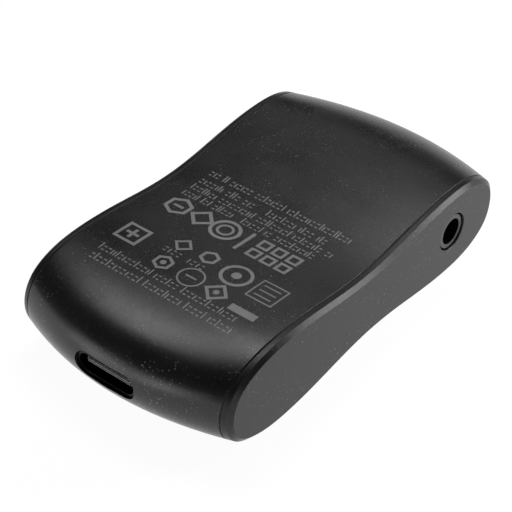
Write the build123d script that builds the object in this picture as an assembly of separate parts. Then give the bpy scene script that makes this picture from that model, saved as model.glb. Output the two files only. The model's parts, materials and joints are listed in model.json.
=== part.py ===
from build123d import *
import math
import os

# Small audio receiver: a wave-shaped metal sleeve closed by two flat side caps.
# X is the width (the jack is in the +X cap), Y is the length (the charging port is in the
# -Y end) and Z is the thickness. Heights are measured from the middle of the thickness,
# and every piece is lifted by half the thickness when it is written, so that the origin is
# the centre of the underside's resting plane.

# ---- casing -------------------------------------------------------------------------------
WIDTH = 32.3                # outside of one side cap to the outside of the other
SIDE_LENGTH = 52.7          # length of the outline at the side caps
CROWN = 3.35                # how far each short end bulges past its corners
CROWN_REACH = 2             # power by which the bulge fades towards the waist
THICKNESS = 12.0            # over the crests of the wave
WAIST = 9.15                # thickness in the hollow of the wave
CREST_Y = 16.45             # where the wave is thickest
END_FULLNESS = 2.35         # 2 is an elliptical end, more is squarer
WALL = 1.0                  # sleeve wall
CAP_RIM = 1.18              # visible edge of a side cap, its bevel included
CAP_BEVEL = 0.5             # flat bevel between a cap's edge and its face
CAP_PLUG_DEPTH = 1.1        # the part of a cap that locates inside the sleeve
CAP_PLUG_WALL = 0.9
SEAM = 0.14                 # gasket between cap and sleeve
SEAM_RECESS = 0.12          # outer edge of the gasket below the surface
SMALL_BEVEL = 0.08          # broken edges at the seams and openings
FIT_GAP = 0.06              # clearance between pieces that are pushed together

# ---- circuit board ------------------------------------------------------------------------
BOARD_TOP = -1.4
BOARD_THICKNESS = 0.8
BOARD_HALF_WIDTH = 12.9
BOARD_SIDE_Y = 23.8         # the board's corners
BOARD_END_Y = 26.0          # the middle of its bowed ends

# ---- charging port ------------------------------------------------------------------------
USB_WIDTH = 8.94
USB_HEIGHT = 3.2
USB_LENGTH = 7.3
USB_WALL = 0.3
USB_SETBACK = 0.7           # mouth of the shell behind the sleeve's surface
USB_LIFT = 1.63             # centre of the port above the board
USB_SLOT_GAP = 0.13         # clearance of the sleeve's slot round the shell
TONGUE_WIDTH = 6.69
TONGUE_THICKNESS = 0.7
TONGUE_SETBACK = 0.4        # front of the tongue behind the mouth of the shell
CONTACT_PITCH = 0.5
CONTACT_COUNT = 12
CONTACT_WIDTH = 0.26
CONTACT_THICKNESS = 0.06
CONTACT_LENGTH = 3.6

# ---- 3.5 mm jack --------------------------------------------------------------------------
JACK_Y = 17.05
JACK_Z = 0.3
JACK_BORE_RADIUS = 1.8
JACK_OPENING_RADIUS = 2.6   # round opening in the right cap
COLLAR_RADIUS = 2.4
COLLAR_SETBACK = 0.22       # face of the collar behind the face of the cap
COLLAR_LENGTH = 1.6
JACK_LENGTH = 12.6
JACK_WIDTH = 6.0
JACK_HEIGHT = 5.0
SPRING_WIDTH = 0.9
SPRING_THICKNESS = 0.2

# ---- battery ------------------------------------------------------------------------------
CELL_WIDTH = 19.0
CELL_LENGTH = 27.0
CELL_THICKNESS = 3.8
CELL_Y = 0.2
PAD_HEIGHT = 1.05
PAD_WIDTH = 2.6
PAD_LENGTH = 22.0
STRIP_WIDTH = 16.0          # the cell's protection strip
STRIP_LENGTH = 2.4
STRIP_THICKNESS = 0.8
LEAD_RADIUS = 0.4

# ---- function button ----------------------------------------------------------------------
BUTTON_RADIUS = 3.5
BUTTON_GAP = 0.12
BUTTON_PROUD = 0.3
BUTTON_TRAVEL = 0.25
FLANGE_RADIUS = 4.1
FLANGE_TOP = -3.17
FLANGE_BOTTOM = -3.48
DISH_RADIUS = 26.0          # finger dish in the button's face
DISH_DEPTH = 0.16
SWITCH_SIDE = 4.5
SWITCH_HEIGHT = 0.55
PLUNGER_RADIUS = 1.0
PLUNGER_TOP = -2.72
PLUNGER_GAP = 0.08
PLUNGER_POCKET_DEPTH = 0.46

# ---- mode switch --------------------------------------------------------------------------
MODE_Y = -10.0              # middle of the knob's travel
MODE_TRAVEL = 2.0
MODE_Z = -0.75
KNOB_LENGTH = 1.8
KNOB_HEIGHT = 1.1
KNOB_GAP = 0.15
KNOB_TIP_SETBACK = 0.12     # tip of the knob behind the face of the cap
MODE_BODY = (2.8, 7.0, 1.5)
MODE_BODY_X = -12.1
GROOVE_LENGTH = 6.4         # fingernail groove round the slot
GROOVE_HEIGHT = 2.3
GROOVE_DEPTH = 0.35

# ---- status light and microphone ----------------------------------------------------------
LIGHT_Y = 8.5
LIGHT_RADIUS = 0.6
LIGHT_GAP = 0.05
LIGHT_FLANGE_RADIUS = 1.1
LED_SIZE = (1.6, 0.8, 0.6)
MIC_Y = 9.0
MIC_SIZE = (2.95, 3.76, 1.1)
MIC_HOLE_RADIUS = 0.45

# ---- carrier and screws -------------------------------------------------------------------
LEDGE_WIDTH = 1.5
LEDGE_THICKNESS = 0.75
RAIL_THICKNESS = 0.7
RAIL_LENGTH = 25.0
RAIL_TOP = 1.5
BOSS_RADIUS = 1.6
BOSS_DEPTH = 1.9
SCREW_RADIUS = 0.7
SCREW_HEAD_RADIUS = 1.25
SCREW_HEAD_HEIGHT = 0.6
SCREW_LENGTH = 2.4
SCREW_PLACES = [(-10.6, -19.0), (10.6, -19.0), (-10.6, 20.6)]

# ---- worked out from the above ------------------------------------------------------------
HALF_WIDTH = WIDTH / 2
NOSE_Y = SIDE_LENGTH / 2
CREST_Z = THICKNESS / 2
WAIST_Z = WAIST / 2
WAVE = (CREST_Z - WAIST_Z) / 2
CAP_INNER_X = HALF_WIDTH - CAP_RIM
SLEEVE_END_X = CAP_INNER_X - SEAM
BOARD_BOTTOM = BOARD_TOP - BOARD_THICKNESS
USB_Z = BOARD_TOP + USB_LIFT
USB_MOUTH_Y = -(NOSE_Y + CROWN) + USB_SETBACK
COLLAR_FACE_X = HALF_WIDTH - COLLAR_SETBACK
JACK_FRONT_X = COLLAR_FACE_X - COLLAR_LENGTH
CELL_BOTTOM = BOARD_TOP + PAD_HEIGHT
ALONG_X = Rotation(0, 90, 0)
ALONG_Y = Rotation(90, 0, 0)


def crown_at(x):
    """How far the short ends stand out at this place across the width."""
    return CROWN * (1 - (x / HALF_WIDTH) ** 2)


def wave_height(y):
    """Height of the casing's surface between the crests: one wave of a cosine."""
    return CREST_Z - WAVE - WAVE * math.cos(math.pi * y / CREST_Y)


def outline_quarter(inset):
    """Nose to waist: each point of the outline, moved inwards by the inset."""
    end_length = NOSE_Y - CREST_Y
    points = []
    for angle in (0, 30, 60, 90):
        along = abs(math.cos(math.radians(angle))) ** (2 / END_FULLNESS)
        up = math.sin(math.radians(angle)) ** (2 / END_FULLNESS)
        steepness = END_FULLNESS - 1
        normal = Vector(0, along**steepness / end_length, up**steepness / CREST_Z).normalized()
        points.append(Vector(0, CREST_Y + end_length * along, CREST_Z * up) - normal * inset)
    for share in (2 / 3, 1 / 3, 0):
        y = CREST_Y * share
        slope = WAVE * math.pi / CREST_Y * math.sin(math.pi * share)
        normal = Vector(0, -slope, 1).normalized()
        points.append(Vector(0, y, wave_height(y)) - normal * inset)
    return points


def section(x, inset):
    """Closed outline across the casing at x: two thick ends and a thinner waist."""
    quarter = outline_quarter(inset)
    half = quarter + [Vector(0, -p.Y, p.Z) for p in reversed(quarter[:-1])]
    whole = half + [Vector(0, p.Y, -p.Z) for p in reversed(half[1:-1])]
    bulged = []
    for p in whole:
        share = abs(p.Y) / NOSE_Y
        bulge = math.copysign(crown_at(x) * share**CROWN_REACH, p.Y)
        bulged.append(Vector(x, p.Y + bulge, p.Z))
    return make_face(Spline(*bulged, periodic=True))


def casing_solid(inset):
    """The casing's outer form, or the hollow inside it, across the full width."""
    stations = [HALF_WIDTH * share for share in (-1, -0.5, 0, 0.5, 1)]
    return loft([section(x, inset) for x in stations])


def slab(x_from, x_to):
    """A block wider than the casing between two places across the width."""
    middle = (x_from + x_to) / 2
    return Pos(middle, 0, 0) * Box(abs(x_to - x_from), 80, 40)


def stadium_block(length_x, height_z, depth_y):
    """A slot-shaped block along Y, centred on the origin."""
    outline = Plane.XZ * SlotOverall(length_x, height_z)
    return extrude(outline, depth_y / 2, both=True)


OUTER = casing_solid(0)
HOLLOW = casing_solid(WALL)


# ---- casing pieces ------------------------------------------------------------------------
def make_sleeve():
    """Metal tube with the port slot, the button hole and the light's hole."""
    blank = OUTER & slab(-SLEEVE_END_X, SLEEVE_END_X)
    ends = blank.faces().sort_by(Axis.X)
    blank = fillet(ends[0].edges() + ends[-1].edges(), SMALL_BEVEL)
    sleeve = blank - HOLLOW
    slot = stadium_block(USB_WIDTH + 2 * USB_SLOT_GAP, USB_HEIGHT + 2 * USB_SLOT_GAP, 8)
    sleeve -= Pos(0, -(NOSE_Y + CROWN), USB_Z) * slot
    sleeve -= Pos(0, 0, -WAIST_Z) * Cylinder(BUTTON_RADIUS + BUTTON_GAP, 4)
    sleeve -= Pos(0, LIGHT_Y, -WAIST_Z) * Cylinder(LIGHT_RADIUS + LIGHT_GAP, 4)
    return sleeve


def make_cap_blank(side):
    """Side cap before its openings: a flush rim with a bevelled edge, and a locating plug."""
    face_x = side * HALF_WIDTH
    outwards = Axis((0, 0, 0), (side, 0, 0))
    rim = OUTER & slab(side * CAP_INNER_X, face_x)
    rim = chamfer(rim.faces().sort_by(outwards)[-1].edges(), CAP_BEVEL)
    rim = fillet(rim.faces().sort_by(outwards)[0].edges(), SMALL_BEVEL)
    plug_end = side * (CAP_INNER_X - CAP_PLUG_DEPTH)
    plug = casing_solid(WALL + FIT_GAP) & slab(side * CAP_INNER_X, plug_end)
    plug -= casing_solid(WALL + FIT_GAP + CAP_PLUG_WALL)
    return rim + plug


def make_right_cap():
    """Right cap with the round opening for the jack."""
    opening = Pos(HALF_WIDTH, JACK_Y, JACK_Z) * ALONG_X * Cylinder(JACK_OPENING_RADIUS, 4)
    cap = make_cap_blank(1) - opening
    mouth = cap.faces().sort_by(Axis.X)[-1].edges().filter_by(GeomType.CIRCLE)
    return chamfer(mouth, SMALL_BEVEL)


def make_left_cap():
    """Left cap with the mode switch's slot and groove, and the microphone hole."""
    cap = make_cap_blank(-1)
    slot_length = KNOB_LENGTH + MODE_TRAVEL + 2 * KNOB_GAP
    slot_height = KNOB_HEIGHT + 2 * KNOB_GAP
    cap -= Pos(-HALF_WIDTH, MODE_Y, MODE_Z) * Box(4, slot_length, slot_height)
    groove = Plane.YZ * SlotOverall(GROOVE_LENGTH, GROOVE_HEIGHT)
    cap -= Pos(-HALF_WIDTH, MODE_Y, MODE_Z) * extrude(groove, GROOVE_DEPTH, both=True)
    cap -= Pos(-HALF_WIDTH, MIC_Y, MODE_Z) * ALONG_X * Cylinder(MIC_HOLE_RADIUS, 4)
    return cap


def make_gasket(side):
    """Thin soft ring between the sleeve's end and a cap."""
    ring = casing_solid(SEAM_RECESS) - HOLLOW
    return ring & slab(side * SLEEVE_END_X, side * CAP_INNER_X)


# ---- board and carrier --------------------------------------------------------------------
def bowed_outline(half_width, side_y, end_y):
    """Rectangle in plan whose short ends bow outwards like the casing's."""
    right = Line((half_width, -side_y), (half_width, side_y))
    far = ThreePointArc((half_width, side_y), (0, end_y), (-half_width, side_y))
    left = Line((-half_width, side_y), (-half_width, -side_y))
    near = ThreePointArc((-half_width, -side_y), (0, -end_y), (half_width, -side_y))
    return make_face([right, far, left, near])


def jack_clearance():
    """Room for the sunk jack in the board and the carrier, open to the right."""
    gap = 0.2
    length = HALF_WIDTH - JACK_FRONT_X + JACK_LENGTH + 2 * gap
    middle = HALF_WIDTH - length / 2 + gap
    return Pos(middle, JACK_Y, 0) * Box(length, JACK_WIDTH + 2 * gap, THICKNESS)


def make_board():
    """Circuit board with screw holes and the jack's cut-out."""
    plan = bowed_outline(BOARD_HALF_WIDTH, BOARD_SIDE_Y, BOARD_END_Y)
    board = Pos(0, 0, BOARD_BOTTOM) * extrude(plan, BOARD_THICKNESS)
    board -= jack_clearance()
    for x, y in SCREW_PLACES:
        board -= Pos(x, y, BOARD_TOP) * Cylinder(SCREW_RADIUS + FIT_GAP, 4)
    return board


def make_carrier():
    """Moulded frame: a ledge under the board's edge, side rails and screw bosses."""
    outer = bowed_outline(BOARD_HALF_WIDTH, BOARD_SIDE_Y, BOARD_END_Y)
    inner = bowed_outline(
        BOARD_HALF_WIDTH - LEDGE_WIDTH, BOARD_SIDE_Y - LEDGE_WIDTH, BOARD_END_Y - LEDGE_WIDTH
    )
    ledge_bottom = BOARD_BOTTOM - LEDGE_THICKNESS
    carrier = Pos(0, 0, ledge_bottom) * extrude(outer - inner, LEDGE_THICKNESS)
    rail_height = RAIL_TOP - ledge_bottom
    rail = Box(RAIL_THICKNESS, RAIL_LENGTH, rail_height)
    for side in (-1, 1):
        rail_x = side * (BOARD_HALF_WIDTH + RAIL_THICKNESS / 2)
        carrier += Pos(rail_x, 0, ledge_bottom + rail_height / 2) * rail
    boss = Cylinder(BOSS_RADIUS, BOSS_DEPTH)
    for x, y in SCREW_PLACES:
        carrier += Pos(x, y, BOARD_BOTTOM - BOSS_DEPTH / 2) * boss
    for x, y in SCREW_PLACES:
        carrier -= Pos(x, y, BOARD_BOTTOM) * Cylinder(SCREW_RADIUS, 2 * SCREW_LENGTH)
    carrier -= jack_clearance()
    mode_room = Box(MODE_BODY[0] + 3, MODE_BODY[1] + 0.4, MODE_BODY[2] + 2)
    carrier -= Pos(MODE_BODY_X - 1, MODE_Y, BOARD_TOP + MODE_BODY[2] / 2 + 1) * mode_room
    return carrier


def make_screws():
    """Pan-head screws through the board into the carrier's bosses."""
    head = Cylinder(SCREW_HEAD_RADIUS, SCREW_HEAD_HEIGHT)
    head = fillet(head.edges().sort_by(Axis.Z)[-1], SCREW_HEAD_HEIGHT * 0.45)
    cross = Box(1.5, 0.32, 0.7) + Box(0.32, 1.5, 0.7)
    head -= Pos(0, 0, SCREW_HEAD_HEIGHT / 2) * cross
    shank = Cylinder(SCREW_RADIUS - FIT_GAP / 2, SCREW_LENGTH)
    screw = Pos(0, 0, SCREW_HEAD_HEIGHT / 2) * head + Pos(0, 0, -SCREW_LENGTH / 2) * shank
    return Compound([Pos(x, y, BOARD_TOP) * screw for x, y in SCREW_PLACES])


# ---- battery ------------------------------------------------------------------------------
def make_cell():
    """Pouch cell with soft edges."""
    cell = Box(CELL_WIDTH, CELL_LENGTH, CELL_THICKNESS)
    cell = fillet(cell.edges().filter_by(Axis.Y), 1.2)
    cell = fillet(cell.edges().filter_by(Axis.X), 0.5)
    return Pos(0, CELL_Y, CELL_BOTTOM + CELL_THICKNESS / 2) * cell


def make_pads():
    """Foam strips that hold the cell above the chips."""
    pad = Box(PAD_WIDTH, PAD_LENGTH, PAD_HEIGHT)
    pad_x = CELL_WIDTH / 2 - PAD_WIDTH / 2 - 1.2
    return Compound(
        [Pos(side * pad_x, CELL_Y, BOARD_TOP + PAD_HEIGHT / 2) * pad for side in (-1, 1)]
    )


def strip_place():
    """Centre of the protection strip, just off the cell's near end."""
    y = CELL_Y - CELL_LENGTH / 2 - 0.15 - STRIP_LENGTH / 2
    return Vector(0, y, CELL_BOTTOM + CELL_THICKNESS / 2)


def make_protection_board():
    """Small strip with two chips, welded to the cell's tabs."""
    strip = Box(STRIP_WIDTH, STRIP_LENGTH, STRIP_THICKNESS)
    for x in (-3.2, 2.4):
        strip += Pos(x, 0, STRIP_THICKNESS / 2 + 0.3) * Box(2.2, 1.6, 0.6)
    return Pos(strip_place()) * strip


def make_leads():
    """Two insulated wires from the protection strip down to the board."""
    start = strip_place()
    top = start.Z - STRIP_THICKNESS / 2
    leads = []
    for x in (-6.0, -4.6):
        route = [
            (x, start.Y, top),
            (x, start.Y, top - 0.9),
            (x, start.Y - 2.6, BOARD_TOP + 0.95),
            (x, start.Y - 2.6, BOARD_TOP),
        ]
        path = FilletPolyline(*route, radius=0.6)
        outline = Plane(origin=route[0], z_dir=(0, 0, -1)) * Circle(LEAD_RADIUS)
        leads.append(sweep(outline, path))
    return Compound(leads)


# ---- charging port ------------------------------------------------------------------------
def make_usb_shell():
    """Drawn steel shell, closed at the back, with four feet on the board."""
    shell = stadium_block(USB_WIDTH, USB_HEIGHT, USB_LENGTH)
    inside = stadium_block(USB_WIDTH - 2 * USB_WALL, USB_HEIGHT - 2 * USB_WALL, USB_LENGTH)
    shell -= Pos(0, -1.2, 0) * inside
    foot = Box(0.9, 1.1, 0.25)
    foot_z = -USB_LIFT + 0.125
    for side in (-1, 1):
        for y in (-0.6, 2.4):
            shell += Pos(side * (USB_WIDTH / 2 - 0.55), y, foot_z) * foot
    return Pos(0, USB_MOUTH_Y + USB_LENGTH / 2, USB_Z) * shell


def tongue_place():
    """Front of the tongue, on the port's middle plane."""
    return Vector(0, USB_MOUTH_Y + TONGUE_SETBACK, USB_Z)


def make_usb_tongue():
    """Contact carrier with a bevelled front, rooted in a block at the back of the shell."""
    front = tongue_place()
    length = 4.45
    blade = Box(TONGUE_WIDTH, length, TONGUE_THICKNESS)
    blade = chamfer(blade.edges().group_by(Axis.Y)[0], 0.16)
    root_length = 1.0
    root = stadium_block(
        USB_WIDTH - 2 * USB_WALL - 0.1, USB_HEIGHT - 2 * USB_WALL - 0.1, root_length
    )
    tongue = Pos(0, length / 2, 0) * blade
    tongue += Pos(0, length + root_length / 2 - 0.05, 0) * root
    return Pos(front) * tongue


def make_usb_contacts():
    """Contact strips on both sides of the tongue."""
    front = tongue_place()
    strip = Box(CONTACT_WIDTH, CONTACT_LENGTH, CONTACT_THICKNESS)
    lift = TONGUE_THICKNESS / 2 + CONTACT_THICKNESS / 2
    strips = []
    for number in range(CONTACT_COUNT):
        x = (number - (CONTACT_COUNT - 1) / 2) * CONTACT_PITCH
        for side in (-1, 1):
            y = front.Y + 0.5 + CONTACT_LENGTH / 2
            strips.append(Pos(x, y, front.Z + side * lift) * strip)
    return Compound(strips)


# ---- 3.5 mm jack --------------------------------------------------------------------------
def jack_spring_places():
    """Distance behind the jack's front and side of the bore for each spring."""
    return [(2.4, 1), (5.2, -1), (8.0, 1), (10.6, -1)]


def spring_slot(depth, side, gap):
    """Room of one leaf spring beside the bore, as a block along Y."""
    block = Box(SPRING_WIDTH + 2 * gap, SPRING_THICKNESS + 2 * gap, JACK_HEIGHT - 1.6)
    y = JACK_Y + side * (JACK_BORE_RADIUS + 0.25)
    return Pos(JACK_FRONT_X - depth, y, JACK_Z) * block


def make_jack_body():
    """Moulded socket with a bore right through and a slot for each spring."""
    body = Box(JACK_LENGTH, JACK_WIDTH, JACK_HEIGHT)
    body = Pos(JACK_FRONT_X - JACK_LENGTH / 2, JACK_Y, JACK_Z) * body
    bore = Cylinder(JACK_BORE_RADIUS, 2 * JACK_LENGTH + 4)
    body -= Pos(JACK_FRONT_X, JACK_Y, JACK_Z) * ALONG_X * bore
    for depth, side in jack_spring_places():
        body -= spring_slot(depth, side, 0.05)
    return body


def make_jack_collar():
    """Metal ring round the mouth of the bore."""
    ring = Cylinder(COLLAR_RADIUS, COLLAR_LENGTH) - Cylinder(JACK_BORE_RADIUS, COLLAR_LENGTH)
    face_edges = ring.edges().group_by(Axis.Z)[-1]
    ring = chamfer(face_edges.sort_by(SortBy.RADIUS)[-1], 0.08)
    return Pos(COLLAR_FACE_X - COLLAR_LENGTH / 2, JACK_Y, JACK_Z) * ALONG_X * ring


def make_jack_contacts():
    """Leaf springs in the jack's slots."""
    return Compound([spring_slot(depth, side, 0) for depth, side in jack_spring_places()])


# ---- function button ----------------------------------------------------------------------
def make_button():
    """Round key with a finger dish outside and a retaining flange inside."""
    face_z = -WAIST_Z - BUTTON_PROUD
    stem_height = FLANGE_TOP - face_z
    stem = Cylinder(BUTTON_RADIUS, stem_height)
    stem = fillet(stem.edges().sort_by(Axis.Z)[0], 0.25)
    key = Pos(0, 0, face_z + stem_height / 2) * stem
    flange_height = FLANGE_TOP - FLANGE_BOTTOM
    key += Pos(0, 0, FLANGE_BOTTOM + flange_height / 2) * Cylinder(FLANGE_RADIUS, flange_height)
    key -= Pos(0, 0, face_z + DISH_DEPTH - DISH_RADIUS) * Sphere(DISH_RADIUS)
    return key


def make_plunger():
    """The switch's round plunger, resting on the key's flange."""
    height = PLUNGER_TOP - FLANGE_TOP
    return Pos(0, 0, FLANGE_TOP + height / 2) * Cylinder(PLUNGER_RADIUS, height)


def make_tactile_switch():
    """Low square switch base with a pocket for the plunger."""
    base_bottom = BOARD_BOTTOM - SWITCH_HEIGHT
    base = Pos(0, 0, base_bottom + SWITCH_HEIGHT / 2) * Box(SWITCH_SIDE, SWITCH_SIDE, SWITCH_HEIGHT)
    pocket = Cylinder(PLUNGER_RADIUS + PLUNGER_GAP, PLUNGER_POCKET_DEPTH)
    return base - Pos(0, 0, base_bottom + PLUNGER_POCKET_DEPTH / 2) * pocket


# ---- mode switch --------------------------------------------------------------------------
def make_mode_body():
    """Slide switch housing on the board's left edge, with a slot for the knob."""
    width, length, height = MODE_BODY
    body = Pos(MODE_BODY_X, MODE_Y, BOARD_TOP + height / 2) * Box(width, length, height)
    slot_length = KNOB_LENGTH + MODE_TRAVEL + 2 * KNOB_GAP
    front_x = MODE_BODY_X - width / 2
    slot = Box(2.0, slot_length, KNOB_HEIGHT + 0.1)
    return body - Pos(front_x, MODE_Y, MODE_Z) * slot


def make_knob():
    """Knob at its receiving position, with ribs across its tip."""
    back_x = MODE_BODY_X - MODE_BODY[0] / 2 + 0.85
    tip_x = -HALF_WIDTH + KNOB_TIP_SETBACK
    depth = back_x - tip_x
    knob = Box(depth, KNOB_LENGTH, KNOB_HEIGHT - 0.1)
    for number in (-1, 0, 1):
        knob -= Pos(-depth / 2, number * 0.5, 0) * Box(0.3, 0.2, KNOB_HEIGHT)
    return Pos(tip_x + depth / 2, MODE_Y - MODE_TRAVEL / 2, MODE_Z) * knob


# ---- light, microphone and chips ----------------------------------------------------------
def make_led():
    """Light-emitting chip on the underside of the board."""
    return Pos(0, LIGHT_Y, BOARD_BOTTOM - LED_SIZE[2] / 2) * Box(*LED_SIZE)


def make_light_pipe():
    """Clear rod from the LED to the casing's surface, with a flange inside the wall."""
    top = BOARD_BOTTOM - LED_SIZE[2] - 0.1
    bottom = -wave_height(LIGHT_Y) + 0.05
    rod = Pos(0, LIGHT_Y, (top + bottom) / 2) * Cylinder(LIGHT_RADIUS, top - bottom)
    flange_z = -wave_height(LIGHT_Y) + WALL + 0.4
    return rod + Pos(0, LIGHT_Y, flange_z) * Cylinder(LIGHT_FLANGE_RADIUS, 0.4)


def on_board(x, y, size):
    """A chip of this size standing on top of the board."""
    return Pos(x, y, BOARD_TOP + size[2] / 2) * Box(*size)


def make_microphone():
    """Metal-canned microphone near its hole in the left cap."""
    can = on_board(-BOARD_HALF_WIDTH + 1.9, MIC_Y, MIC_SIZE)
    can = fillet(can.edges().filter_by(Axis.Z), 0.3)
    port = Pos(-BOARD_HALF_WIDTH, MIC_Y, MODE_Z) * ALONG_X * Cylinder(0.3, 2.4)
    return can - port


def make_antenna():
    """Ceramic chip antenna in the board's far left corner, with end terminals."""
    block = on_board(-5.2, 23.4, (5.2, 2.0, 1.1))
    for side in (-1, 1):
        block += on_board(-5.2 + side * 2.35, 23.4, (0.5, 2.04, 1.14))
    return block


def make_passives():
    """Resistors and capacitors in rows beside the chips."""
    small = (1.0, 0.5, 0.5)
    large = (1.6, 0.8, 0.8)
    pieces = []
    for number in range(6):
        pieces.append(on_board(-4.8, -10.0 + 1.1 * number, small))
        pieces.append(on_board(4.8, -10.0 + 1.1 * number, small))
    for number in range(4):
        pieces.append(on_board(-3.0 + 2.2 * number, 12.0, large))
        pieces.append(on_board(-9.4 + 2.0 * number, 16.6, small))
    return Compound(pieces)


PARTS = {
    "sleeve": make_sleeve(),
    "right_side_cap": make_right_cap(),
    "left_side_cap": make_left_cap(),
    "right_cap_gasket": make_gasket(1),
    "left_cap_gasket": make_gasket(-1),
    "carrier": make_carrier(),
    "main_board": make_board(),
    "board_screws": make_screws(),
    "battery_cell": make_cell(),
    "battery_pads": make_pads(),
    "protection_board": make_protection_board(),
    "battery_leads": make_leads(),
    "usb_shell": make_usb_shell(),
    "usb_tongue": make_usb_tongue(),
    "usb_contacts": make_usb_contacts(),
    "jack_body": make_jack_body(),
    "jack_collar": make_jack_collar(),
    "jack_contacts": make_jack_contacts(),
    "function_button": make_button(),
    "switch_plunger": make_plunger(),
    "tactile_switch": make_tactile_switch(),
    "mode_switch_body": make_mode_body(),
    "mode_switch_knob": make_knob(),
    "status_led": make_led(),
    "light_pipe": make_light_pipe(),
    "microphone": make_microphone(),
    "wireless_chip": on_board(0, -6.5, (6.0, 6.0, 0.85)),
    "charge_chip": on_board(3.4, -18.6, (3.0, 3.0, 0.75)),
    "audio_chip": on_board(0, 5.5, (4.0, 4.0, 0.85)),
    "crystal": on_board(0, -1.4, (3.2, 2.5, 0.7)),
    "chip_antenna": make_antenna(),
    "passives": make_passives(),
}

os.makedirs("parts", exist_ok=True)
for node, shape in PARTS.items():
    export_step(Pos(0, 0, THICKNESS / 2) * shape, f"parts/{node}.step")
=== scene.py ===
# %% [markdown]
# # A small audio receiver, dressed for a studio shot
# The receiver is a metal sleeve with a wave in it, closed by two flat side caps. The CAD
# model brings every solid at its true size, in metres. This lesson adds what CAD leaves out:
# the finishes, the printed marks, the light and the camera. The first step loads the CAD
# frame and keeps its outer box, because nothing added later may grow past it.

# %% Load the frame
import json
import math

import bpy
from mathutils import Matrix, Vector


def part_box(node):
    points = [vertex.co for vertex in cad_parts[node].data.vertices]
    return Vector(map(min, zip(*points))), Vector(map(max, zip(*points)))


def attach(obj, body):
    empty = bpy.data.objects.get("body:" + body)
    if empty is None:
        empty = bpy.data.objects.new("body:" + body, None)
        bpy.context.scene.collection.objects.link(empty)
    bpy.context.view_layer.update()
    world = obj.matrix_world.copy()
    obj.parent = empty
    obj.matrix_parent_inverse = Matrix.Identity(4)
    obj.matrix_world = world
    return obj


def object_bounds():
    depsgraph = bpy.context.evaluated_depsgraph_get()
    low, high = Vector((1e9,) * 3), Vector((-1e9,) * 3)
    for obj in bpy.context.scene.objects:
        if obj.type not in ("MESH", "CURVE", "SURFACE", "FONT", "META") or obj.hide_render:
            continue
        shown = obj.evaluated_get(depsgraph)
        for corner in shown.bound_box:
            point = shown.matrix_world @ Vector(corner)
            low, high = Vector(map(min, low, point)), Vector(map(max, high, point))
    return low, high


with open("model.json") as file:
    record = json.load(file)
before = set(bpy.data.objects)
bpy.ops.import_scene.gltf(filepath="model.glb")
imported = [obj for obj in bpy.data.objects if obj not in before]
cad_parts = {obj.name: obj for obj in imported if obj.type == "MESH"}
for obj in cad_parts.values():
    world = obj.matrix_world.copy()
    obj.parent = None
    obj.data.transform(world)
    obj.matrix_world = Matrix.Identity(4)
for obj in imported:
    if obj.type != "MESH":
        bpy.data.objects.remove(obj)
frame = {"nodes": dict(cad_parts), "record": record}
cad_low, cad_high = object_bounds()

MM = 0.001
print("the receiver measures, in mm:", [round(s / MM, 2) for s in cad_high - cad_low])

# %% [markdown]
# ## The camera
# A small product is usually photographed from some way off with a long lens, so that its
# far end doesn't shrink. The camera stands in front and to the right, and looks down at
# about forty degrees. It is aimed a little beside the middle, which leaves the object
# slightly off centre in the picture. Blender points a camera along its own -Z, which is
# what to_track_quat("Z", "Y") arranges when it is given the direction back to the camera.

# %% Camera
AZIMUTH = math.radians(38.65)
ELEVATION = math.radians(39.4)
DISTANCE = 194.7 * MM
LENS = 110.1
SENSOR_WIDTH = 36
NEAREST_VISIBLE = 10 * MM
AIM_LEFT = 1.37 * MM
AIM_DOWN = 0.87 * MM

middle = Vector((0, 0, (cad_low.z + cad_high.z) / 2))
towards_camera = Vector((
    math.sin(AZIMUTH) * math.cos(ELEVATION),
    -math.cos(AZIMUTH) * math.cos(ELEVATION),
    math.sin(ELEVATION),
))
camera_right = Vector((math.cos(AZIMUTH), math.sin(AZIMUTH), 0))
camera_up = towards_camera.cross(camera_right)
aim = middle - camera_right * AIM_LEFT - camera_up * AIM_DOWN
station = middle + towards_camera * DISTANCE

bpy.ops.object.select_all(action="DESELECT")
bpy.ops.object.camera_add(
    location=station,
    rotation=(station - aim).to_track_quat("Z", "Y").to_euler(),
)
camera = bpy.context.object
camera.name = "studio_camera"
camera.data.sensor_width = SENSOR_WIDTH
camera.data.lens = LENS
camera.data.clip_start = NEAREST_VISIBLE
bpy.context.scene.camera = camera
bpy.context.scene.view_settings.view_transform = "Standard"
print("camera at", [round(c, 3) for c in station], "with a lens of", LENS, "mm")

# %% [markdown]
# ## Floor and light
# A black object shows almost nothing but reflections, so the light matters more than the
# paint. The floor glows softly, as a light table does: it lights the vertical faces from
# below and keeps the ground pale. Eight panels stand in an arch along the object, leaning
# to its left, where its wavy top mirrors them to the camera. Each is placed by an angle: 0
# is the horizon past the far end, 90 is overhead, and 180 is the horizon before the near
# end. One more panel, close by on the right, draws a light line along the right cap's
# bevel. The world stays dark above and turns pale only near the horizon, behind the floor.

# %% Floor and world
FLOOR_SIZE = 3.0
FLOOR_PAINT = (0.14, 0.14, 0.14, 1)
FLOOR_GLOW = 0.95
SKY_PALE_BELOW = 0.12
SKY_DARK_ABOVE = 0.22

bpy.ops.mesh.primitive_plane_add(size=FLOOR_SIZE, location=(0, 0, cad_low.z))
floor = bpy.context.object
floor.name = "floor"
floor_paint = bpy.data.materials.new("floor_paint")
floor_paint.use_nodes = True
floor_shader = floor_paint.node_tree.nodes["Principled BSDF"]
floor_shader.inputs["Base Color"].default_value = FLOOR_PAINT
floor_shader.inputs["Specular IOR Level"].default_value = 0
floor_shader.inputs["Emission Color"].default_value = (1, 1, 1, 1)
floor_shader.inputs["Emission Strength"].default_value = FLOOR_GLOW
floor.data.materials.append(floor_paint)

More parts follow.
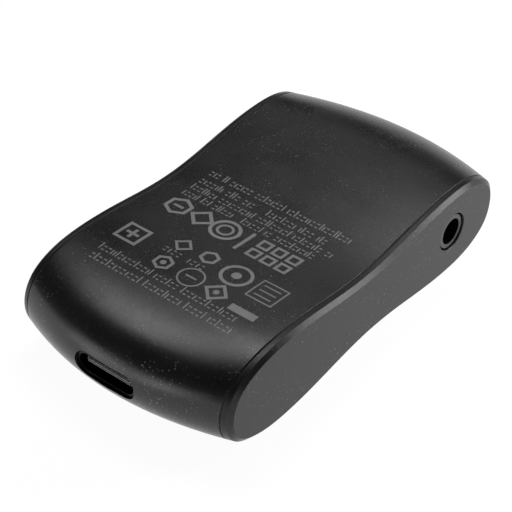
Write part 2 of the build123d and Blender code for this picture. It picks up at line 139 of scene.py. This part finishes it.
world = bpy.data.worlds.new("studio")
world.use_nodes = True
bpy.context.scene.world = world
sky = world.node_tree
sky_place = sky.nodes.new("ShaderNodeTexCoord")
sky_height = sky.nodes.new("ShaderNodeSeparateXYZ")
sky_fade = sky.nodes.new("ShaderNodeMapRange")
sky_fade.inputs["From Min"].default_value = SKY_PALE_BELOW
sky_fade.inputs["From Max"].default_value = SKY_DARK_ABOVE
sky_fade.inputs["To Min"].default_value = 1
sky_fade.inputs["To Max"].default_value = 0
sky.links.new(sky_place.outputs["Generated"], sky_height.inputs["Vector"])
sky.links.new(sky_height.outputs["Z"], sky_fade.inputs["Value"])
sky.links.new(sky_fade.outputs["Result"], sky.nodes["Background"].inputs["Color"])
print("the floor is", FLOOR_SIZE, "m wide and stands at z =", round(cad_low.z, 6))

# %% Light panels
PANEL_HALF_ANGLE = math.radians(8)
PANEL_OVERLAP = 1.1
CLOSE = 140 * MM
FAR = 400 * MM
LEAN = 0.4835
LIGHT_TARGET = Vector((0, 0, 6)) * MM
BEVEL_PANEL_PLACE = Vector((70, 72, 45)) * MM


def place_panel(name, place, size, strength):
    """A square panel aimed at the object, whose glow doesn't depend on its size."""
    bpy.ops.object.light_add(
        type="AREA",
        location=place,
        rotation=(place - LIGHT_TARGET).to_track_quat("Z", "Y").to_euler(),
    )
    lamp = bpy.context.object
    lamp.name = name
    lamp.data.size = size
    lamp.data.energy = math.pi * size**2 * strength


def add_panel(name, angle, distance, side, strength):
    """A panel in the arch, or beside it by so many panel widths."""
    turn = math.radians(angle)
    upright = math.sqrt(1 - LEAN**2)
    direction = Vector((-LEAN, upright * math.cos(turn), upright * math.sin(turn)))
    size = 2 * distance * math.tan(PANEL_HALF_ANGLE) * PANEL_OVERLAP
    across = direction.cross(Vector((0, -math.sin(turn), math.cos(turn)))).normalized()
    place = LIGHT_TARGET + direction * distance + across * side * size
    place_panel(name, place, size, strength)


add_panel("panel_back_low", angle=40, distance=CLOSE, side=0, strength=0.4)
add_panel("panel_back_low_side", angle=40, distance=CLOSE, side=1, strength=0.5)
add_panel("panel_back", angle=56, distance=CLOSE, side=1, strength=1.8)
add_panel("panel_top", angle=72, distance=CLOSE, side=0, strength=0.9)
add_panel("panel_top_side", angle=72, distance=CLOSE, side=1, strength=7.1)
add_panel("panel_overhead", angle=90, distance=CLOSE, side=0, strength=4.2)
add_panel("panel_front_near", angle=168, distance=CLOSE, side=0, strength=2.05)
add_panel("panel_front_far", angle=168, distance=FAR, side=1, strength=2.6)
place_panel("panel_bevel", BEVEL_PANEL_PLACE, size=42 * MM, strength=9.0)

# %% [markdown]
# ## How a finish is built
# No surface is one flat colour. Each finish here is a small tree of nodes that all read the
# place on the object: a broad cloud for uneven colour and gloss, a fine grain for texture,
# and a mask that finds sharp edges, where a coating wears; on the port's tongue the same
# mask carries a painted highlight. The helpers below each add one such step to a tree, so
# that a finish reads as a short recipe.

# %% Shading helpers
EDGE_SAMPLES = 6
EDGE_SPAN = (0.9, 0.995)
MIX_COLOUR_A = 6
MIX_COLOUR_B = 7
MIX_COLOUR_OUT = 2


def start_finish(name):
    """A new material, its tree, its shader and the place that patterns read."""
    look = bpy.data.materials.new(name)
    look.use_nodes = True
    tree = look.node_tree
    place = tree.nodes.new("ShaderNodeTexCoord").outputs["Object"]
    return look, tree, tree.nodes["Principled BSDF"], place


def move_place(tree, place, centre=(0, 0, 0), stretch=(1, 1, 1)):
    """The same place counted from another centre, and squeezed along each axis."""
    mapping = tree.nodes.new("ShaderNodeMapping")
    mapping.vector_type = "POINT"
    mapping.inputs["Location"].default_value = [-c * s for c, s in zip(centre, stretch)]
    mapping.inputs["Scale"].default_value = stretch
    tree.links.new(place, mapping.inputs["Vector"])
    return mapping.outputs["Vector"]


def noise(tree, place, size, detail=2.0):
    """Noise from 0 to 1 whose blobs are about this many metres across."""
    node = tree.nodes.new("ShaderNodeTexNoise")
    node.inputs["Scale"].default_value = 1 / size
    node.inputs["Detail"].default_value = detail
    tree.links.new(place, node.inputs["Vector"])
    return node.outputs["Fac"]


def between(tree, value, start, end, low=0.0, high=1.0):
    """Low where the value is at start or less, and high where it is at end or more."""
    node = tree.nodes.new("ShaderNodeMapRange")
    settings = {"From Min": start, "From Max": end, "To Min": low, "To Max": high}
    for socket, number in settings.items():
        node.inputs[socket].default_value = number
    tree.links.new(value, node.inputs["Value"])
    return node.outputs["Result"]


def calculate(tree, operation, first, second):
    """One step of arithmetic on two values, each a socket or a number."""
    node = tree.nodes.new("ShaderNodeMath")
    node.operation = operation
    for socket, value in zip(node.inputs, (first, second)):
        if isinstance(value, (int, float)):
            socket.default_value = value
        else:
            tree.links.new(value, socket)
    return node.outputs["Value"]


def tint(tree, share, under, over):
    """The colour under, or over where share is 1. A colour is a socket or three numbers."""
    node = tree.nodes.new("ShaderNodeMix")
    node.data_type = "RGBA"
    tree.links.new(share, node.inputs["Factor"])
    for number, colour in ((MIX_COLOUR_A, under), (MIX_COLOUR_B, over)):
        if isinstance(colour, tuple):
            node.inputs[number].default_value = (*colour, 1)
        else:
            tree.links.new(colour, node.inputs[number])
    return node.outputs[MIX_COLOUR_OUT]


def edges(tree, width):
    """1 along sharp edges and 0 on open faces, found with a rounded normal."""
    rounded = tree.nodes.new("ShaderNodeBevel")
    rounded.samples = EDGE_SAMPLES
    rounded.inputs["Radius"].default_value = width
    plain = tree.nodes.new("ShaderNodeNewGeometry")
    compare = tree.nodes.new("ShaderNodeVectorMath")
    compare.operation = "DOT_PRODUCT"
    tree.links.new(rounded.outputs["Normal"], compare.inputs[0])
    tree.links.new(plain.outputs["Normal"], compare.inputs[1])
    return between(tree, compare.outputs["Value"], *EDGE_SPAN, low=1, high=0)


def add_bump(tree, shader, height, depth):
    """Raises the surface by up to depth metres where the height is 1."""
    bump = tree.nodes.new("ShaderNodeBump")
    bump.inputs["Distance"].default_value = depth
    tree.links.new(height, bump.inputs["Height"])
    tree.links.new(bump.outputs["Normal"], shader.inputs["Normal"])


# %% Painted glints
CLUSTER_SIZE = 5 * MM
CLUSTER_SPAN = (0.45, 0.6)
BETWEEN_CLUSTERS = 0.15
GRAIN_SPAN = (0.25, 0.45)
PICK_SPAN = 0.01


def painted_glints(tree, place, spacing, share):
    """Painted glints: pale dots in loose clusters, where one cell in so many holds a bright
    grain.
    """
    cells = tree.nodes.new("ShaderNodeTexVoronoi")
    cells.inputs["Scale"].default_value = 1 / spacing
    tree.links.new(place, cells.inputs["Vector"])
    pick = tree.nodes.new("ShaderNodeSeparateColor")
    tree.links.new(cells.outputs["Color"], pick.inputs["Color"])
    chosen = between(tree, pick.outputs["Red"], 1 - share, 1 - share + PICK_SPAN)
    grain = between(tree, cells.outputs["Distance"], *GRAIN_SPAN, low=1, high=0)
    cloud = noise(tree, place, CLUSTER_SIZE)
    cluster = between(tree, cloud, *CLUSTER_SPAN, low=BETWEEN_CLUSTERS)
    return calculate(tree, "MULTIPLY", calculate(tree, "MULTIPLY", chosen, grain), cluster)


# %% [markdown]
# ## One recipe for the plain finishes
# Moulded plastic, plated steel, epoxy, foam and ceramic differ only in their numbers: two
# colours to drift between, two limits of roughness, the size of the grain, how deep it is,
# and how light the edges get. A brushed metal is the same recipe with the grain drawn out
# along one axis. Numbers that are the same all over are set on the shader itself.

# %% The recipe
CLOUD_SIZE = 6 * MM
SUM_SPAN = (0.7, 1.3)
PLAIN_EDGE = 0.12 * MM


def plain_finish(name, dark, light, rough, grain, depth, edge=None, stretch=None, **fixed):
    """A material from one recipe. Fixed are shader values that are the same all over."""
    look, tree, shader, place = start_finish(name)
    drawn = move_place(tree, place, stretch=stretch) if stretch else place
    fine = noise(tree, drawn, grain)
    cloud = noise(tree, place, CLOUD_SIZE)
    both = calculate(tree, "ADD", fine, cloud)
    colour = tint(tree, between(tree, both, *SUM_SPAN), dark, light)
    if edge:
        colour = tint(tree, edges(tree, PLAIN_EDGE), colour, edge)
    tree.links.new(colour, shader.inputs["Base Color"])
    tree.links.new(between(tree, both, *SUM_SPAN, *rough), shader.inputs["Roughness"])
    add_bump(tree, shader, fine, depth)
    for socket, number in fixed.items():
        shader.inputs[socket.replace("_", " ")].default_value = number
    return look


finishes = {
    "seam_rubber": plain_finish(
        "seam_rubber_look", (0.004, 0.004, 0.004), (0.008, 0.008, 0.008), (0.6, 0.75),
        0.1 * MM, 0.004 * MM, edge=(0.012, 0.012, 0.012),
    ),
    "frame_plastic": plain_finish(
        "frame_plastic_look", (0.018, 0.018, 0.019), (0.032, 0.032, 0.033), (0.45, 0.6),
        0.12 * MM, 0.006 * MM, edge=(0.06, 0.06, 0.062),
    ),
    "screw_steel": plain_finish(
        "screw_steel_look", (0.45, 0.45, 0.46), (0.62, 0.62, 0.62), (0.25, 0.4),
        0.05 * MM, 0.002 * MM, edge=(0.75, 0.75, 0.75), Metallic=1,
    ),
    "cell_foil": plain_finish(
        "cell_foil_look", (0.6, 0.61, 0.63), (0.76, 0.77, 0.79), (0.28, 0.45),
        0.9 * MM, 0.03 * MM, edge=(0.85, 0.85, 0.86), Metallic=1,
    ),
    "foam": plain_finish(
        "foam_look", (0.025, 0.025, 0.026), (0.06, 0.06, 0.062), (0.85, 0.97),
        0.15 * MM, 0.05 * MM, edge=(0.08, 0.08, 0.082),
    ),
    "lead_insulation": plain_finish(
        "lead_insulation_look", (0.32, 0.012, 0.012), (0.5, 0.025, 0.02), (0.35, 0.5),
        0.2 * MM, 0.004 * MM, edge=(0.6, 0.05, 0.04),
    ),
    "port_plastic": plain_finish(
        "port_plastic_look", (0.008, 0.008, 0.008), (0.014, 0.014, 0.014), (0.4, 0.55),
        0.06 * MM, 0.003 * MM, edge=(0.05, 0.05, 0.05),
    ),
    "contact_gold": plain_finish(
        "contact_gold_look", (0.6, 0.4, 0.13), (0.83, 0.6, 0.25), (0.2, 0.36),
        0.04 * MM, 0.001 * MM, edge=(0.9, 0.7, 0.35), stretch=(1, 0.2, 1), Metallic=1,
    ),
    # The tongue's pale edge colour is a painted highlight along its lit front edge.
    "tongue_plastic": plain_finish(
        "tongue_plastic_look", (0.004, 0.004, 0.004), (0.008, 0.008, 0.008), (0.3, 0.42),
        0.06 * MM, 0.003 * MM, edge=(0.7, 0.7, 0.7),
    ),
    "knob_plastic": plain_finish(
        "knob_plastic_look", (0.012, 0.012, 0.012), (0.022, 0.022, 0.022), (0.4, 0.55),
        0.08 * MM, 0.006 * MM, edge=(0.05, 0.05, 0.05),
    ),
    "led_resin": plain_finish(
        "led_resin_look", (0.72, 0.76, 0.8), (0.85, 0.88, 0.92), (0.15, 0.3),
        0.3 * MM, 0.002 * MM, edge=(0.95, 0.96, 0.98), Coat_Weight=0.3,
    ),
    "clear_plastic": plain_finish(
        "clear_plastic_look", (0.6, 0.64, 0.68), (0.78, 0.8, 0.82), (0.12, 0.28),
        0.3 * MM, 0.003 * MM, edge=(0.9, 0.92, 0.94), Transmission_Weight=0.35,
    ),
    "can_metal": plain_finish(
        "can_metal_look", (0.55, 0.54, 0.51), (0.72, 0.71, 0.68), (0.25, 0.4),
        0.06 * MM, 0.002 * MM, edge=(0.82, 0.81, 0.78), stretch=(0.15, 1, 1), Metallic=1,
    ),
    "chip_epoxy": plain_finish(
        "chip_epoxy_look", (0.014, 0.014, 0.015), (0.026, 0.026, 0.028), (0.5, 0.68),
        0.07 * MM, 0.004 * MM, edge=(0.05, 0.05, 0.052),
    ),
    "ceramic_white": plain_finish(
        "ceramic_white_look", (0.7, 0.7, 0.67), (0.85, 0.85, 0.82), (0.2, 0.35),
        0.1 * MM, 0.002 * MM, edge=(0.92, 0.92, 0.9),
    ),
    "ceramic_brown": plain_finish(
        "ceramic_brown_look", (0.24, 0.14, 0.07), (0.4, 0.26, 0.15), (0.25, 0.45),
        0.1 * MM, 0.003 * MM, edge=(0.62, 0.6, 0.56),
    ),
    # The port's steel shell is coloured almost black: painted shade for the dark inside of
    # the charging slot.
    "port_steel": plain_finish(
        "port_steel_look", (0.008, 0.008, 0.008), (0.016, 0.016, 0.016), (0.3, 0.42),
        0.03 * MM, 0.002 * MM, edge=(0.04, 0.04, 0.04), stretch=(1, 0.1, 1), Metallic=1,
    ),
}
print("plain finishes:", len(finishes))

# %% [markdown]
# ## The blasted and dyed metal
# The casing is aluminium that was blasted with fine beads and then dyed black. Up close it
# isn't smooth: tiny dimples blur the reflections, and here and there a facet sparkles. Those
# sparkles are painted glints, pale specks in the base colour. The dye sinks in a little
# unevenly, and it is thinner on the edges. A dyed oxide layer reflects as a dielectric does,
# so the shader isn't set to metallic.

# %% Blasted metal
GRIT = 0.11 * MM
DIMPLE_DEPTH = 0.006 * MM
GLINT_SPACING = 0.17 * MM
BLASTED_EDGE = 0.15 * MM


def blasted_metal(name, dark, light, rough, glint_colour, share, edge, gloss=0.5):
    """Dark dyed metal with fine dimples, painted glints as pale specks, and lighter edges.
    """
    look, tree, shader, place = start_finish(name)
    fine = noise(tree, place, GRIT, detail=3)
    cloud = noise(tree, place, CLOUD_SIZE)
    both = calculate(tree, "ADD", fine, cloud)
    colour = tint(tree, between(tree, both, *SUM_SPAN), dark, light)
    colour = tint(tree, edges(tree, BLASTED_EDGE), colour, edge)
    colour = tint(tree, painted_glints(tree, place, GLINT_SPACING, share), colour, glint_colour)
    tree.links.new(colour, shader.inputs["Base Color"])
    tree.links.new(between(tree, both, *SUM_SPAN, *rough), shader.inputs["Roughness"])
    shader.inputs["Specular IOR Level"].default_value = gloss
    add_bump(tree, shader, fine, DIMPLE_DEPTH)
    return look


finishes["anodised_shell"] = blasted_metal(
    "anodised_shell_look", dark=(0.009, 0.009, 0.009), light=(0.015, 0.015, 0.015),
    rough=(0.25, 0.31), glint_colour=(0.3, 0.3, 0.3), share=0.07, edge=(0.05, 0.05, 0.05),
)
finishes["anodised_cap"] = blasted_metal(
    "anodised_cap_look", dark=(0.010, 0.010, 0.010), light=(0.018, 0.018, 0.018),
    rough=(0.28, 0.36), glint_colour=(0.22, 0.22, 0.22), share=0.04, edge=(0.05, 0.05, 0.05),
    gloss=0.3,
)
print("blasted finishes: the sleeve's and the caps'")

# %% [markdown]
# ## Turned metal
# The jack's collar and the button were faced on a lathe, which leaves fine rings round
# their middle. The distance from the axis goes through a sine wave, and that height bends
# the light as the real grooves do. Inside the collar's bore the metal is painted almost
# black, because hardly any light comes back out of a deep hole.

# %% Turned metal
RING_PITCH = 0.09 * MM
RING_DEPTH = 0.002 * MM
CLOUD_SPAN = (0.35, 0.65)
TURNED_EDGE = 0.1 * MM
TURNED_EDGE_COLOUR = (0.06, 0.06, 0.06)
BORE_PAINTED_SHADE = (0.001, 0.001, 0.001)
BORE_FADE = 0.04 * MM
COLLAR_BORE = 1.82 * MM


def middle_of(node):
    """The middle of a CAD piece's box."""
    low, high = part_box(node)
    return (low + high) / 2


def turned_metal(name, node, flat, dark, light, rough, hole=0.0):
    """Dyed metal with rings round the piece's axis, and painted shade inside a hole in its
    middle.
    """
    look, tree, shader, place = start_finish(name)
    around = move_place(tree, place, centre=middle_of(node), stretch=flat)
    length = tree.nodes.new("ShaderNodeVectorMath")
    length.operation = "LENGTH"
    tree.links.new(around, length.inputs[0])
    turns = calculate(tree, "MULTIPLY", length.outputs["Value"], 2 * math.pi / RING_PITCH)
    rings = calculate(tree, "SINE", turns, 0.0)
    cloud = noise(tree, place, CLOUD_SIZE)
    colour = tint(tree, between(tree, cloud, *CLOUD_SPAN), dark, light)
    colour = tint(tree, edges(tree, TURNED_EDGE), colour, TURNED_EDGE_COLOUR)
    painted_bore_shade = between(tree, length.outputs["Value"], hole, hole + BORE_FADE, low=1, high=0)
    colour = tint(tree, painted_bore_shade, colour, BORE_PAINTED_SHADE)
    tree.links.new(colour, shader.inputs["Base Color"])
    tree.links.new(between(tree, cloud, *CLOUD_SPAN, *rough), shader.inputs["Roughness"])
    add_bump(tree, shader, rings, RING_DEPTH)
    return look


finishes["anodised_collar"] = turned_metal(
    "anodised_collar_look", "jack_collar", (0, 1, 1),
    dark=(0.012, 0.012, 0.012), light=(0.02, 0.02, 0.02), rough=(0.28, 0.36),
    hole=COLLAR_BORE,
)
finishes["anodised_button"] = turned_metal(
    "anodised_button_look", "function_button", (1, 1, 0),
    dark=(0.02, 0.02, 0.021), light=(0.032, 0.032, 0.033), rough=(0.26, 0.34),
)
print("turned finishes: the collar's and the button's")

# %% [markdown]
# ## The circuit board
# Solder mask is a green lacquer over copper tracks. The tracks show through as lighter
# lines, so a grid of narrow bands is broken up by noise until it looks routed.

# %% Board laminate
TRACK_PITCH = 0.9 * MM
TRACK_SPAN = (0.7, 0.8)
TRACK_HEIGHT = 0.02 * MM
REGION_SIZE = 4 * MM
REGION_SPAN = (0.48, 0.5)
LACQUER_DARK = (0.006, 0.07, 0.03)
LACQUER_LIGHT = (0.01, 0.11, 0.05)
TRACK_COLOUR = (0.03, 0.2, 0.09)
BARE_EDGE = 0.1 * MM
BARE_EDGE_COLOUR = (0.25, 0.24, 0.14)
LACQUER_GRAIN = 0.3 * MM
LACQUER_SPAN = (0.3, 0.7)
LACQUER_ROUGH = (0.25, 0.4)


def board_finish(name):
    """Green lacquer with copper tracks that show through it."""
    look, tree, shader, place = start_finish(name)
    apart = tree.nodes.new("ShaderNodeSeparateXYZ")
    tree.links.new(place, apart.inputs["Vector"])
    bands = []
    for axis in ("X", "Y"):
        turns = calculate(tree, "MULTIPLY", apart.outputs[axis], 2 * math.pi / TRACK_PITCH)
        wave = calculate(tree, "SINE", turns, 0.0)
        gate = between(tree, noise(tree, place, REGION_SIZE), *REGION_SPAN)
        if axis == "Y":
            gate = calculate(tree, "SUBTRACT", 1.0, gate)
        bands.append(calculate(tree, "MULTIPLY", between(tree, wave, *TRACK_SPAN), gate))
    tracks = calculate(tree, "MAXIMUM", *bands)
    cloud = between(tree, noise(tree, place, CLOUD_SIZE), *CLOUD_SPAN)
    lacquer = tint(tree, cloud, LACQUER_DARK, LACQUER_LIGHT)
    colour = tint(tree, tracks, lacquer, TRACK_COLOUR)
    colour = tint(tree, edges(tree, BARE_EDGE), colour, BARE_EDGE_COLOUR)
    tree.links.new(colour, shader.inputs["Base Color"])
    fine = noise(tree, place, LACQUER_GRAIN)
    gloss = between(tree, fine, *LACQUER_SPAN, *LACQUER_ROUGH)
    tree.links.new(gloss, shader.inputs["Roughness"])
    add_bump(tree, shader, tracks, TRACK_HEIGHT)
    return look


finishes["board_laminate"] = board_finish("board_laminate_look")
print("finishes so far:", len(finishes))

# %% [markdown]
# ## Dressing the CAD pieces
# The imported record says which finish each CAD piece takes. Each piece's material slots are
# given that finish, and the mesh itself is never touched. The port's tongue shares a slot
# with the jack's body, but its front edge carries a painted highlight, a far lighter edge
# colour, so it has its own finish.

# %% Assign the finishes
for part in frame["record"]["subparts"]:
    for holder in frame["nodes"][part["node"]].material_slots:
        holder.material = finishes[part["material_slot"]]
for holder in frame["nodes"]["usb_tongue"].material_slots:
    holder.material = finishes["tongue_plastic"]
print("dressed", len(frame["nodes"]), "pieces with", len(finishes), "finishes")

# %% [markdown]
# ## Printed marks
# The sleeve's top carries a block of pale print: lines of tiny marks and a few round and
# square signs. Here it is made of plain shapes that mean nothing: rows of ticks and dashes
# with gaps between groups, rings, hexagons, diamonds, frames and bars. Real print has a
# thickness that can be seen in grazing light, so it is modelled as a thin layer rather than
# painted. All the shapes are laid out flat over the sleeve first, then dropped on it with a
# Shrinkwrap modifier and given their thickness with Solidify.

# %% Tools for flat shapes
PRINT_HEIGHT = cad_high.z + 2 * MM
SQUARE = 4
HEXAGON = 6
ROUND = 32
DOT_CORNERS = 12
UPRIGHT = 45
print_shapes = []


def keep_shape(cuts):
    """Divides the shape that was just made, so that it can follow a curve."""
    bpy.ops.object.mode_set(mode="EDIT")
    bpy.ops.mesh.select_all(action="SELECT")
    bpy.ops.mesh.subdivide(number_cuts=cuts)
    bpy.ops.object.mode_set(mode="OBJECT")
    print_shapes.append(bpy.context.object)


def outline(corners, radius, x, y, stroke, turn=0, cuts=1):
    """A ring or polygon with an open middle. A square stands on a corner unless turned."""
    bpy.ops.object.select_all(action="DESELECT")
    bpy.ops.mesh.primitive_circle_add(
        vertices=corners, radius=radius, fill_type="NGON",
        location=(x, y, PRINT_HEIGHT), rotation=(0, 0, math.radians(turn)),
    )
    bpy.ops.object.mode_set(mode="EDIT")
    bpy.ops.mesh.select_all(action="SELECT")
    bpy.ops.mesh.inset(thickness=stroke)
    bpy.ops.mesh.delete(type="FACE")
    bpy.ops.object.mode_set(mode="OBJECT")
    keep_shape(cuts)


def bar(width, height, x, y, cuts=1):
    """A solid bar with its middle at x, y."""
    bpy.ops.object.select_all(action="DESELECT")
    bpy.ops.mesh.primitive_plane_add(size=1, location=(x, y, PRINT_HEIGHT))
    plate = bpy.context.object
    plate.scale = (width, height, 1)
    bpy.ops.object.transform_apply(location=False, rotation=False, scale=True)
    keep_shape(cuts)


def dot(radius, x, y):
    """A small round dot."""
    bpy.ops.object.select_all(action="DESELECT")
    bpy.ops.mesh.primitive_circle_add(
        vertices=DOT_CORNERS, radius=radius, fill_type="NGON",
        location=(x, y, PRINT_HEIGHT),
    )
    print_shapes.append(bpy.context.object)


def put_copy(model, x, y):
    """A copy of a shape, with its own mesh and its middle at x, y."""
    copy = model.copy()
    copy.data = model.data.copy()
    bpy.context.scene.collection.objects.link(copy)
    copy.location = (x, y, PRINT_HEIGHT)
    print_shapes.append(copy)


# %% [markdown]
# ### Lines of small print
# A line of small print reads from afar as a row of strokes with a rhythm: narrow and wide,
# short and tall, close together in groups. So that nothing can be read, a line here is made
# of plain ticks and pairs of dashes. Each shape is modelled once and copied along the
# lines, each copy with its own mesh. In the patterns below ' is a short tick, | a tall one
# and = a pair of dashes.

# %% Shapes of the small print
THIN = 0.17 * MM
SMALL_HEIGHT = 0.82 * MM
TALL_HEIGHT = 1.2 * MM
DASH_WIDTH = 0.4 * MM
STEPS = {"=": 0.575 * MM, "'": 0.31 * MM, "|": 0.31 * MM, " ": 0.36 * MM}

bar(THIN, SMALL_HEIGHT, x=0, y=0)
short_tick = print_shapes.pop()
bar(THIN, TALL_HEIGHT, x=0, y=0)
tall_tick = print_shapes.pop()
bar(DASH_WIDTH, THIN, x=0, y=0)
dash = print_shapes.pop()
SHAPES = {
    "=": ((dash, THIN / 2), (dash, SMALL_HEIGHT - THIN / 2)),
    "'": ((short_tick, SMALL_HEIGHT / 2),),
    "|": ((tall_tick, TALL_HEIGHT / 2),),
}


def small_print(x, end, y, pattern):
    """A line of copies from x to its end, with its feet at y."""
    spread = (end - x) / sum(STEPS[sign] for sign in pattern)
    for sign in pattern:
        for model, lift in SHAPES.get(sign, ()):
            put_copy(model, x + spread * STEPS[sign] / 2, y + lift)
        x += spread * STEPS[sign]


# %% Lines of small print
# Each line: where it starts and ends along X, where its feet stand along Y, its pattern.
LINES = (
    (-11.7, 10.6, 2.45, "='= || ='='== ==|='==| '=|==''==|'==||=='"),
    (-11.8, 8.4, 0.6, "='=='|' =||= ='=    |='=|==' '|== '|="),
    (-11.8, 10.4, -1.0, "|==||'=' =='=='=''| ==||=='=| '=|=='|= ='"),
    (-11.8, 8.9, -2.6, "'=='| |=| =||=='   |='==| '= ='==|='='|="),
    (-11.3, 9.7, -18.1, "|==''|='==|=='| '==|== |=='==|==|'=='"),
    (-11.2, 10.5, -19.9, "=|==|='=='==| |=='=|'==' |===| '=|=='"),
    (-5.4, -2.5, -13.4, "='=="),
    (-1.6, 1.1, -13.4, "'='="),
)
for start, end, line_y, pattern in LINES:
    small_print(start * MM, end * MM, line_y * MM, pattern)
print("small print:", len(print_shapes), "ticks and dashes")

# %% [markdown]
# ### Plain signs
# The signs stand in rows among the lines, the boldest first. Each is a plain figure at
# about the size of the print around it. The cells of the grid and the bars on the card
# repeat, so one of each is modelled and copied.

# %% Bold signs
BOLD = 0.46 * MM
BOLD_ROW = -5.0
CELL_PITCH = 2.2


def at(x, y):
    """A place on the sleeve's top, given in millimetres."""
    return {"x": x * MM, "y": y * MM}


outline(HEXAGON, 1.95 * MM, **at(-10.0, BOLD_ROW), cuts=4, stroke=BOLD)
bar(1.5 * MM, BOLD, **at(-10.0, BOLD_ROW), cuts=2)
outline(SQUARE, 1.9 * MM, **at(-6.2, BOLD_ROW), cuts=5, stroke=BOLD)
outline(ROUND, 2.1 * MM, **at(-2.5, BOLD_ROW), stroke=BOLD)
outline(ROUND, 1.15 * MM, **at(-2.5, BOLD_ROW), stroke=0.34 * MM)
bar(BOLD, 4.2 * MM, **at(0.7, BOLD_ROW - 0.2), cuts=5)

outline(SQUARE, 1.25 * MM, **at(3.1, -4.2), turn=UPRIGHT, cuts=2, stroke=0.38 * MM)
grid_cell = print_shapes[-1]
for column in range(3):
    for row in range(2):
        if column or row:
            put_copy(grid_cell, **at(3.1 + CELL_PITCH * column, -4.2 - CELL_PITCH * row))

# %% Framed cross and small signs
MEDIUM = 0.42 * MM
CROSS_ROW = -13.4

outline(SQUARE, 2.5 * MM, **at(-9.9, CROSS_ROW), turn=UPRIGHT, cuts=6, stroke=MEDIUM)
bar(1.9 * MM, MEDIUM, **at(-9.9, CROSS_ROW), cuts=3)
bar(MEDIUM, 1.9 * MM, **at(-9.9, CROSS_ROW), cuts=3)
outline(HEXAGON, 1.4 * MM, **at(-3.4, -15.2), cuts=2, stroke=0.38 * MM)
dot(0.4 * MM, **at(-3.4, -15.2))
outline(SQUARE, 1.4 * MM, **at(-3.9, -11.0), cuts=2, stroke=0.34 * MM)
outline(HEXAGON, 1.35 * MM, **at(0.0, -10.8), cuts=2, stroke=0.4 * MM)
outline(ROUND, 2.1 * MM, **at(4.6, -11.4), stroke=0.44 * MM)
dot(0.65 * MM, **at(4.6, -11.4))

# %% Card with bars, thin ring, diamond and solid bar
FINE = 0.2 * MM

outline(SQUARE, 2.7 * MM, **at(9.4, -11.6), turn=UPRIGHT, cuts=6, stroke=FINE)
bar(2.4 * MM, FINE, **at(9.4, -10.6), cuts=2)
card_bar = print_shapes[-1]
for row in (1, 2):
    put_copy(card_bar, **at(9.4, -10.6 - row))

outline(ROUND, 1.75 * MM, **at(0.9, -15.2), stroke=0.22 * MM)
bar(1.6 * MM, 0.24 * MM, **at(0.9, -15.2), cuts=2)
outline(SQUARE, 1.75 * MM, **at(4.9, -15.4), cuts=4, stroke=0.4 * MM)
dot(0.4 * MM, **at(4.9, -15.4))
bar(3.8 * MM, 1.1 * MM, **at(9.5, -16.2), cuts=4)
print("printed shapes:", len(print_shapes))

# %% [markdown]
# ### Laying the print on the sleeve
# Joined into one mesh, the print is pressed down along -Z until it meets the sleeve.
# Solidify then gives it a thickness and closes its edges. A little of that thickness is
# sunk into the sleeve, so that no gap shows where the flat shapes cross a curve.

# %% Lay the print down
PRINT_THICKNESS = 0.012 * MM
PRINT_SINK = 0.004 * MM

for model in (short_tick, tall_tick, dash):
    bpy.data.objects.remove(model)
bpy.ops.object.select_all(action="DESELECT")
for shape in print_shapes:
    shape.select_set(True)
bpy.context.view_layer.objects.active = print_shapes[0]
bpy.ops.object.join()
bpy.ops.object.transform_apply(location=True, rotation=True, scale=True)
print_marks = bpy.context.object
print_marks.name = "print_marks"
drop = print_marks.modifiers.new("drop", "SHRINKWRAP")
drop.target = frame["nodes"]["sleeve"]
drop.wrap_method = "PROJECT"
drop.use_project_z = True
drop.use_negative_direction = True
drop.use_positive_direction = False
bpy.ops.object.modifier_apply(modifier="drop")
layer = print_marks.modifiers.new("layer", "SOLIDIFY")
layer.thickness = PRINT_THICKNESS + PRINT_SINK
layer.offset = (PRINT_THICKNESS - PRINT_SINK) / (PRINT_THICKNESS + PRINT_SINK)
bpy.ops.object.modifier_apply(modifier="layer")
print("print_marks has", len(print_marks.data.polygons), "faces")

# %% Print finish
finishes["print"] = plain_finish(
    "print_look", (0.24, 0.24, 0.24), (0.3, 0.3, 0.3), (0.4, 0.5), 0.12 * MM, 0.003 * MM
)
print_marks.data.materials.append(finishes["print"])
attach(print_marks, "root")
